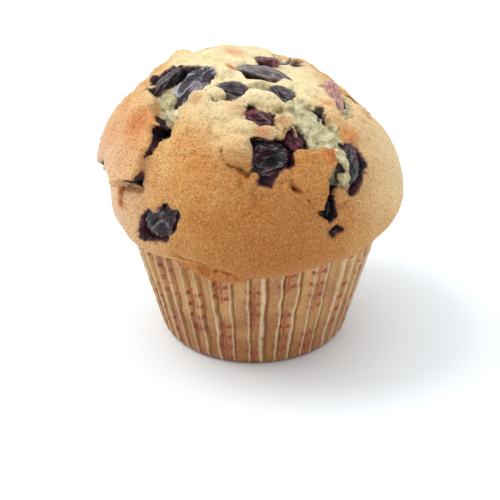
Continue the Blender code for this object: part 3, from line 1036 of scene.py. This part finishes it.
def sponge():
    """Baked muffin sponge: a golden crust, matt and finely pored, browned most at the front and low down
    (partly painted shade), paled by painted light over its top and right, tinted pink at its sides by a
    painted reflection, and pale open crumb where it tore, stained by juice."""
    material, tree, shader = new_material("baked_sponge")
    place = add(tree, "ShaderNodeTexCoord").outputs["Object"]
    layer = {
        name: add(tree, "ShaderNodeAttribute", attribute_name=name).outputs["Fac"]
        for name in ("crumb", "juice_and_shade", "toast", "painted_light", "browned_and_shaded", "painted_side_light")}
    # Broad browning, over patches of about 9 mm.
    broad = add(tree, NOISE, {"Vector": place, "Scale": per_mm(9), "Detail": 4.0})
    broad = add(tree, RAMP, {0: broad, 1: 0.36, 2: 0.64})
    browned_and_shaded = add(tree, MATH, {0: layer["browned_and_shaded"], 1: 0.95}, operation="MULTIPLY")
    # The crust's grain: light sugary grains and dark pores about 0.5 mm across, and a few open pits, dented
    # and painted dark brown as the shade inside them.
    grain = add(tree, NOISE, {"Vector": place, "Scale": per_mm(0.52), "Detail": 3.0, "Roughness": 0.7})
    dark = add(tree, RAMP, {0: grain, 1: 0.5, 2: 0.36, 3: 0.0, 4: 0.8})
    bright = add(tree, RAMP, {0: grain, 1: 0.54, 2: 0.7, 3: 0.0, 4: 0.35})
    # Where the crown is painted light, the dark pores fade.
    faint = add(tree, RAMP, {0: layer["painted_light"], 1: 0.0, 2: 1.0, 3: 1.0, 4: 0.45})
    dark = add(tree, MATH, {0: dark, 1: faint}, operation="MULTIPLY")
    pits = add(tree, "ShaderNodeTexVoronoi", {"Vector": place, "Scale": per_mm(2.6)}, feature="F1")
    chosen = add(tree, "ShaderNodeSeparateXYZ", {0: pits.outputs["Color"]}).outputs["X"]
    width = add(tree, RAMP, {0: chosen, 1: 0.7, 2: 1.0, 3: 0.0, 4: 0.1})
    pit = add(tree, MATH, {0: pits.outputs["Distance"], 1: width}, operation="LESS_THAN")
    pit_shade = add(tree, MATH, {0: pit, 1: 0.7}, operation="MULTIPLY")
    # Over the crust's own colour: random browning, the painted pink reflection at the sides, front browning
    # that is partly painted shade, painted light over the top and right, toasted spots, pores, grains, and
    # pits painted dark as shade.
    crust = "#D8923C"
    for cover, over in (
            (broad, "#EBB46A"), (layer["painted_side_light"], "#EDC49C"), (browned_and_shaded, "#B86E20"),
            (layer["painted_light"], "#FAE8B4"), (layer["toast"], "#CF6A1C"), (dark, "#9C5A22"),
            (bright, "#F6DCA8"), (pit_shade, "#6A3A16")):
        mix = add(tree, MIX, {COVER: cover, UNDER: crust, OVER: over}, data_type="RGBA")
        crust = mix.outputs[MIXED]
    # Crumb: pale cream, with painted grey-green shade in patches and painted shade darkening its hollows.
    coarse = add(tree, NOISE, {"Vector": place, "Scale": per_mm(1.5), "Detail": 4.0, "Roughness": 0.65})
    coarse = add(tree, RAMP, {0: coarse, 1: 0.34, 2: 0.6})
    painted_grey_shade = add(tree, NOISE, {"Vector": place, "Scale": per_mm(5), "Detail": 3.0})
    painted_grey_shade = add(tree, RAMP, {0: painted_grey_shade, 1: 0.46, 2: 0.66})
    raised = add(tree, MIX, {COVER: painted_grey_shade, UNDER: "#FCF1C2", OVER: "#DDD5AC"}, data_type="RGBA")
    raised = raised.outputs[MIXED]
    crumb = add(tree, MIX, {COVER: coarse, UNDER: "#C2B07C", OVER: raised}, data_type="RGBA")
    # Juice: grey-lilac where it is thin, purple-black where it is thick; in the deep left gap the
    # purple-black also stands in for painted shadow.
    speck = add(tree, NOISE, {"Vector": place, "Scale": per_mm(1.2), "Detail": 4.0, "Roughness": 0.7})
    soak = add(tree, MATH, {0: speck, 1: 1.3, 2: -0.65}, operation="MULTIPLY_ADD")
    soak = add(tree, MATH, {0: layer["juice_and_shade"], 1: soak}, operation="ADD", use_clamp=True)
    wet = add(tree, MATH, {0: layer["juice_and_shade"], 1: 0.02}, operation="GREATER_THAN")
    thin = add(tree, RAMP, {0: soak, 1: 0.12, 2: 0.5, 3: 0.0, 4: 0.85})
    thick = add(tree, RAMP, {0: soak, 1: 0.42, 2: 0.8})
    thin, thick = [add(tree, MATH, {0: amount, 1: wet}, operation="MULTIPLY") for amount in (thin, thick)]
    red = add(tree, NOISE, {"Vector": place, "Scale": per_mm(3.0), "Detail": 2.0})
    red = add(tree, RAMP, {0: red, 1: 0.48, 2: 0.66})
    thinly = {COVER: layer["crumb"], UNDER: "#7C5040", OVER: "#8F857A"}
    thinly = add(tree, MIX, thinly, data_type="RGBA")
    thickly = add(tree, MIX, {COVER: red, UNDER: "#170C12", OVER: "#5C2230"}, data_type="RGBA")
    base = crust
    for cover, over in ((layer["crumb"], crumb), (thin, thinly), (thick, thickly)):
        mix = add(tree, MIX, {COVER: cover, UNDER: base, OVER: over.outputs[MIXED]}, data_type="RGBA")
        base = mix.outputs[MIXED]
    rough = add(tree, RAMP, {0: layer["crumb"], 1: 0.0, 2: 1.0, 3: 0.6, 4: 0.9})
    rough = add(tree, MATH, {0: thick, 1: -0.42, 2: rough}, operation="MULTIPLY_ADD")
    # Relief: grains and pores on the crust, an open texture in the crumb.
    relief = add(tree, MATH, {0: pit, 1: -1.2, 2: grain}, operation="MULTIPLY_ADD")
    rise = add(tree, MATH, {0: layer["crumb"], 1: 0.9, 2: 0.35}, operation="MULTIPLY_ADD")
    relief = add(tree, MATH, {0: coarse, 1: rise, 2: relief}, operation="MULTIPLY_ADD")
    dents = add(tree, "ShaderNodeBump", {"Strength": 1.0, "Distance": 0.5 * MM, "Height": relief})
    connect(tree, shader, {
        "Base Color": base, "Roughness": rough, "IOR": 1.42, "Normal": dents, "Subsurface Weight": 0.1,
        "Subsurface Radius": (1.0, 0.6, 0.3), "Subsurface Scale": 1.2 * MM})
    return material


# Berry skins: colours of the skin, its bloom with painted highlights on folds and wrinkles, and its flesh,
# how rough it is, and how much bloom and painted highlight is left.
SKINS = {
    "burst_skin": ("#0C070A", "#7E777F", "#4C1622", 0.1, 0.25),
    "bloomed_skin": ("#241C22", "#8E8792", "#4A3440", 0.35, 0.6),
    # The streaked skin's pale colour is chiefly painted highlight along its wrinkles.
    "streaked_skin": ("#141016", "#B0ABB6", "#43202C", 0.14, 0.5),
    "stewed_skin": ("#3E121C", "#96606A", "#7C2838", 0.18, 0.35),
    "dried_skin": ("#3C3436", "#8B8584", "#7A4438", 0.35, 0.6),
    "flat_skin": ("#B27E70", "#CFA292", "#A46468", 0.3, 0.6),
}


def berry_skin(name, dark, light, flush, gloss, bloomed):
    """A blueberry's baked skin: nearly black and wrinkled, glossy with juice, with grey bloom left on
    its folds and painted highlights along its folds and wrinkles."""
    material, tree, shader = new_material(name)
    along = add(tree, "ShaderNodeAttribute", attribute_name="along").outputs["Vector"]
    fold = add(tree, "ShaderNodeAttribute", attribute_name="fold").outputs["Fac"]
    # Wrinkles run lengthwise, about 0.5 mm apart.
    drawn = add(tree, "ShaderNodeMapping", {"Vector": along, "Scale": (0.22, 1.0, 1.0)})
    streaks = add(tree, NOISE, {"Vector": drawn, "Scale": per_mm(0.55), "Detail": 5.0, "Roughness": 0.7})
    patches = add(tree, NOISE, {"Vector": along, "Scale": per_mm(2.6), "Detail": 4.0, "Roughness": 0.65})
    patches = add(tree, RAMP, {0: patches, 1: 0.46, 2: 0.6})
    # Bloom and painted highlight: lighter on the raised folds and along the wrinkles.
    bloom_and_highlight = add(tree, MATH, {0: fold, 1: 0.35, 2: streaks}, operation="MULTIPLY_ADD")
    bloom_and_highlight = add(tree, RAMP, {0: bloom_and_highlight, 1: 0.8 - 0.2 * bloomed, 2: 0.94 - 0.2 * bloomed})
    base = dark
    for cover, over in ((patches, flush), (bloom_and_highlight, light)):
        mix = add(tree, MIX, {COVER: cover, UNDER: base, OVER: over}, data_type="RGBA")
        base = mix.outputs[MIXED]
    rough = add(tree, RAMP, {0: streaks, 1: 0.35, 2: 0.65, 3: gloss, 4: gloss + 0.35})
    dents = add(tree, "ShaderNodeBump", {"Strength": 1.0, "Distance": 0.6 * MM, "Height": streaks})
    connect(tree, shader, {
        "Base Color": base, "Roughness": rough, "IOR": 1.45, "Normal": dents, "Specular IOR Level": 0.5,
        "Coat Weight": 0.3 * (1 - bloomed), "Coat Roughness": 0.08})
    return material


# The print's measures in mm: a column's width, the rise from one sprig to the next, how far each
# column is set lower as a share of that rise, and the rise from one pair of leaves to the next.
COLUMN_WIDTH = 8.28
SPRIG_EVERY = 22.0
COLUMN_SHIFT = 0.41
LEAVES_EVERY = 4.0


def greaseproof_paper():
    """Greaseproof baking paper, soaked with butter: a warm tan that glows a little, with a low waxy
    sheen, painted highlight along its pleats' crests and painted shade in their folds, and a worn brick-red
    print of leafy sprigs."""
    material, tree, shader = new_material("greaseproof_paper")
    place = add(tree, "ShaderNodeTexCoord").outputs["Object"]
    printed = add(tree, "ShaderNodeAttribute", attribute_name="print").outputs["Vector"]
    spot = add(tree, "ShaderNodeSeparateXYZ", {0: printed}).outputs
    # Butter soaks the paper in blotches of about 9 mm, and most of all near the base.
    blotch = add(tree, NOISE, {"Vector": place, "Scale": per_mm(9), "Detail": 4.0})
    low = add(tree, RAMP, {0: spot["Y"], 1: 26 * MM, 2: 0.0, 3: 0.0, 4: 0.35})
    soaked = add(tree, MATH, {0: blotch, 1: low}, operation="ADD")
    soaked = add(tree, RAMP, {0: soaked, 1: 0.35, 2: 0.75})
    fibre = add(tree, NOISE, {"Vector": place, "Scale": per_mm(0.7), "Detail": 3.0})
    fleck = add(tree, RAMP, {0: fibre, 1: 0.45, 2: 0.7, 3: 0.0, 4: 0.25})
    # The print: leafy sprigs in columns, each column's sprigs set lower than the last's.
    column = add(tree, MATH, {0: spot["X"], 1: per_mm(COLUMN_WIDTH)}, operation="MULTIPLY")
    number = add(tree, MATH, {0: column}, operation="FLOOR")
    sideways = add(tree, MATH, {0: spot["X"], 1: per_mm(1)}, operation="MULTIPLY")
    sideways = within_repeat(tree, sideways, COLUMN_WIDTH)
    sideways = add(tree, MATH, {0: sideways}, operation="ABSOLUTE")
    shift = add(tree, MATH, {0: number, 1: COLUMN_SHIFT * SPRIG_EVERY}, operation="MULTIPLY")
    tall = add(tree, MATH, {0: spot["Y"], 1: per_mm(1), 2: shift}, operation="MULTIPLY_ADD")
    tall = within_repeat(tree, tall, SPRIG_EVERY)
    from_middle = add(tree, MATH, {0: tall}, operation="ABSOLUTE")
    within = add(tree, RAMP, {0: from_middle, 1: 8.1, 2: 7.9})
    stem = add(tree, RAMP, {0: sideways, 1: 0.32, 2: 0.18})
    # Pairs of leaves up the stem, each leaf 3 mm long and pointing up and out.
    rung = within_repeat(tree, tall, LEAVES_EVERY)
    leaf = add(tree, "ShaderNodeCombineXYZ", {0: sideways, 1: rung})
    leaf = add(tree, "ShaderNodeMapping", {
        "Vector": leaf, "Location": (1.5, 0.1, 0.0), "Rotation": (0.0, 0.0, math.radians(35)),
        "Scale": (1.5, 0.7, 1.0)}, vector_type="TEXTURE")
    leaf = add(tree, "ShaderNodeVectorMath", {0: leaf}, operation="LENGTH").outputs["Value"]
    leaf = add(tree, RAMP, {0: leaf, 1: 1.0, 2: 0.85})
    ink = add(tree, MATH, {0: stem, 1: leaf}, operation="MAXIMUM")
    worn = add(tree, NOISE, {"Vector": place, "Scale": per_mm(1.8), "Detail": 3.0})
    worn = add(tree, RAMP, {0: worn, 1: 0.32, 2: 0.6, 3: 0.45, 4: 0.95})
    for amount in (within, worn):
        ink = add(tree, MATH, {0: ink, 1: amount}, operation="MULTIPLY")
    # Painted shade darkens the pleats' folds and a painted highlight pales their crests.
    painted_fold_shade = add(tree, RAMP, {0: spot["Z"], 1: 0.0, 2: -1.0, 3: 0.0, 4: 0.6})
    painted_crest_highlight = add(tree, RAMP, {0: spot["Z"], 1: 0.3, 2: 1.0, 3: 0.0, 4: 0.6})
    paper = "#D69E60"
    for cover, over in (
            (soaked, "#9E622E"), (fleck, "#E4C08A"), (ink, "#A0321E"), (painted_fold_shade, "#7E4A22"),
            (painted_crest_highlight, "#F6E2B8")):
        mix = add(tree, MIX, {COVER: cover, UNDER: paper, OVER: over}, data_type="RGBA")
        paper = mix.outputs[MIXED]
    crinkle = add(tree, NOISE, {"Vector": place, "Scale": per_mm(1.4), "Detail": 4.0})
    dents = add(tree, "ShaderNodeBump", {"Strength": 0.4, "Distance": 0.15 * MM, "Height": crinkle})
    connect(tree, shader, {
        "Base Color": paper, "Roughness": 0.45, "IOR": 1.45, "Normal": dents, "Subsurface Weight": 0.2,
        "Subsurface Radius": (1.0, 0.7, 0.4), "Subsurface Scale": 1.0 * MM})
    return material


def studio_white():
    """A smooth painted studio table: matt and nearly white."""
    material, tree, shader = new_material("matt_white_table")
    place = add(tree, "ShaderNodeTexCoord").outputs["Object"]
    cloud = add(tree, NOISE, {"Vector": place, "Scale": 4.0, "Detail": 1.0})
    white = add(tree, MIX, {COVER: cloud, UNDER: "#EEF5F7", OVER: "#F3F9FB"}, data_type="RGBA")
    connect(tree, shader, {"Base Color": white.outputs[MIXED], "Roughness": 0.6})
    return material


# ---------------------------------------------------------------- floor, light and camera

VIEW_ELEVATION = 30.0
VIEW_DISTANCE = 600 * MM
VIEW_TARGET = Vector((-1.2 * MM, 0, 21.4 * MM))
VIEW_LENS = 156.4

# The key light: its strength, how wide it looks in degrees, and where it shines from.
KEY_STRENGTH = 1.25
KEY_WIDTH = 32
KEY_FROM = Vector((-1.1, 0.15, 1.6))
TABLE_HALF = 6.0


def lay_table(material):
    builder = bmesh.new()
    bmesh.ops.create_grid(builder, x_segments=1, y_segments=1, size=TABLE_HALF)
    mesh = bpy.data.meshes.new("table")
    builder.to_mesh(mesh)
    builder.free()
    mesh.materials.append(material)
    new_object("table", mesh)


def aim(name, data, place, target):
    """A lamp or camera at a place, turned to its target."""
    thing = new_object(name, data)
    thing.location = place
    thing.rotation_mode = "QUATERNION"
    thing.rotation_quaternion = (target - place).to_track_quat("-Z", "Y")
    return thing


def light_studio():
    """White walls and ceiling, darker behind the camera, and a soft key from the upper left back."""
    world = bpy.data.worlds.new("white_studio")
    bpy.context.scene.world = world
    world.use_nodes = True
    tree = world.node_tree
    around = add(tree, "ShaderNodeSeparateXYZ", {0: add(tree, "ShaderNodeTexCoord").outputs["Generated"]})
    behind = add(tree, RAMP, {0: around.outputs["Y"], 1: -0.85, 2: 0.0, 3: 0.4, 4: 1.05})
    above = add(tree, RAMP, {0: around.outputs["Z"], 1: 0.1, 2: 0.9, 3: 0.0, 4: 0.35})
    strength = add(tree, MATH, {0: behind, 1: above}, operation="ADD")
    connect(tree, tree.nodes["Background"], {"Color": "#F8FBFF", "Strength": strength})
    lamp = bpy.data.lights.new("key_softbox", "SUN")
    lamp.energy = KEY_STRENGTH
    lamp.angle = math.radians(KEY_WIDTH)
    aim("key_softbox", lamp, KEY_FROM, Vector((0, 0, 0)))
    bpy.context.scene.view_settings.view_transform = "Standard"


def place_camera():
    rise = math.radians(VIEW_ELEVATION)
    back = Vector((0, -math.cos(rise), math.sin(rise)))
    camera = bpy.data.cameras.new("camera")
    camera.lens = VIEW_LENS
    camera.clip_start = 0.01
    place = VIEW_TARGET + back * VIEW_DISTANCE
    bpy.context.scene.camera = aim("camera", camera, place, VIEW_TARGET)


# ---------------------------------------------------------------- putting it together

def finish_piece(piece, node):
    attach(piece, "root")
    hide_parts(node)


def main():
    berries = {name: berry_frame(name) for name in BERRIES}
    chart = draw_chart()
    cake = make_cake(chart, berries)
    cake.data.materials.append(sponge())
    finish_piece(cake, "cake")
    skins = {name: berry_skin(name, *look) for name, look in SKINS.items()}
    for seed, name in enumerate(BERRIES):
        berry = make_berry(name, seed)
        berry.data.materials.append(skins[BERRIES[name][2]])
        finish_piece(berry, name)
    case = make_case(greaseproof_paper())
    finish_piece(case, "paper_case")
    lay_table(studio_white())
    light_studio()
    place_camera()


main()
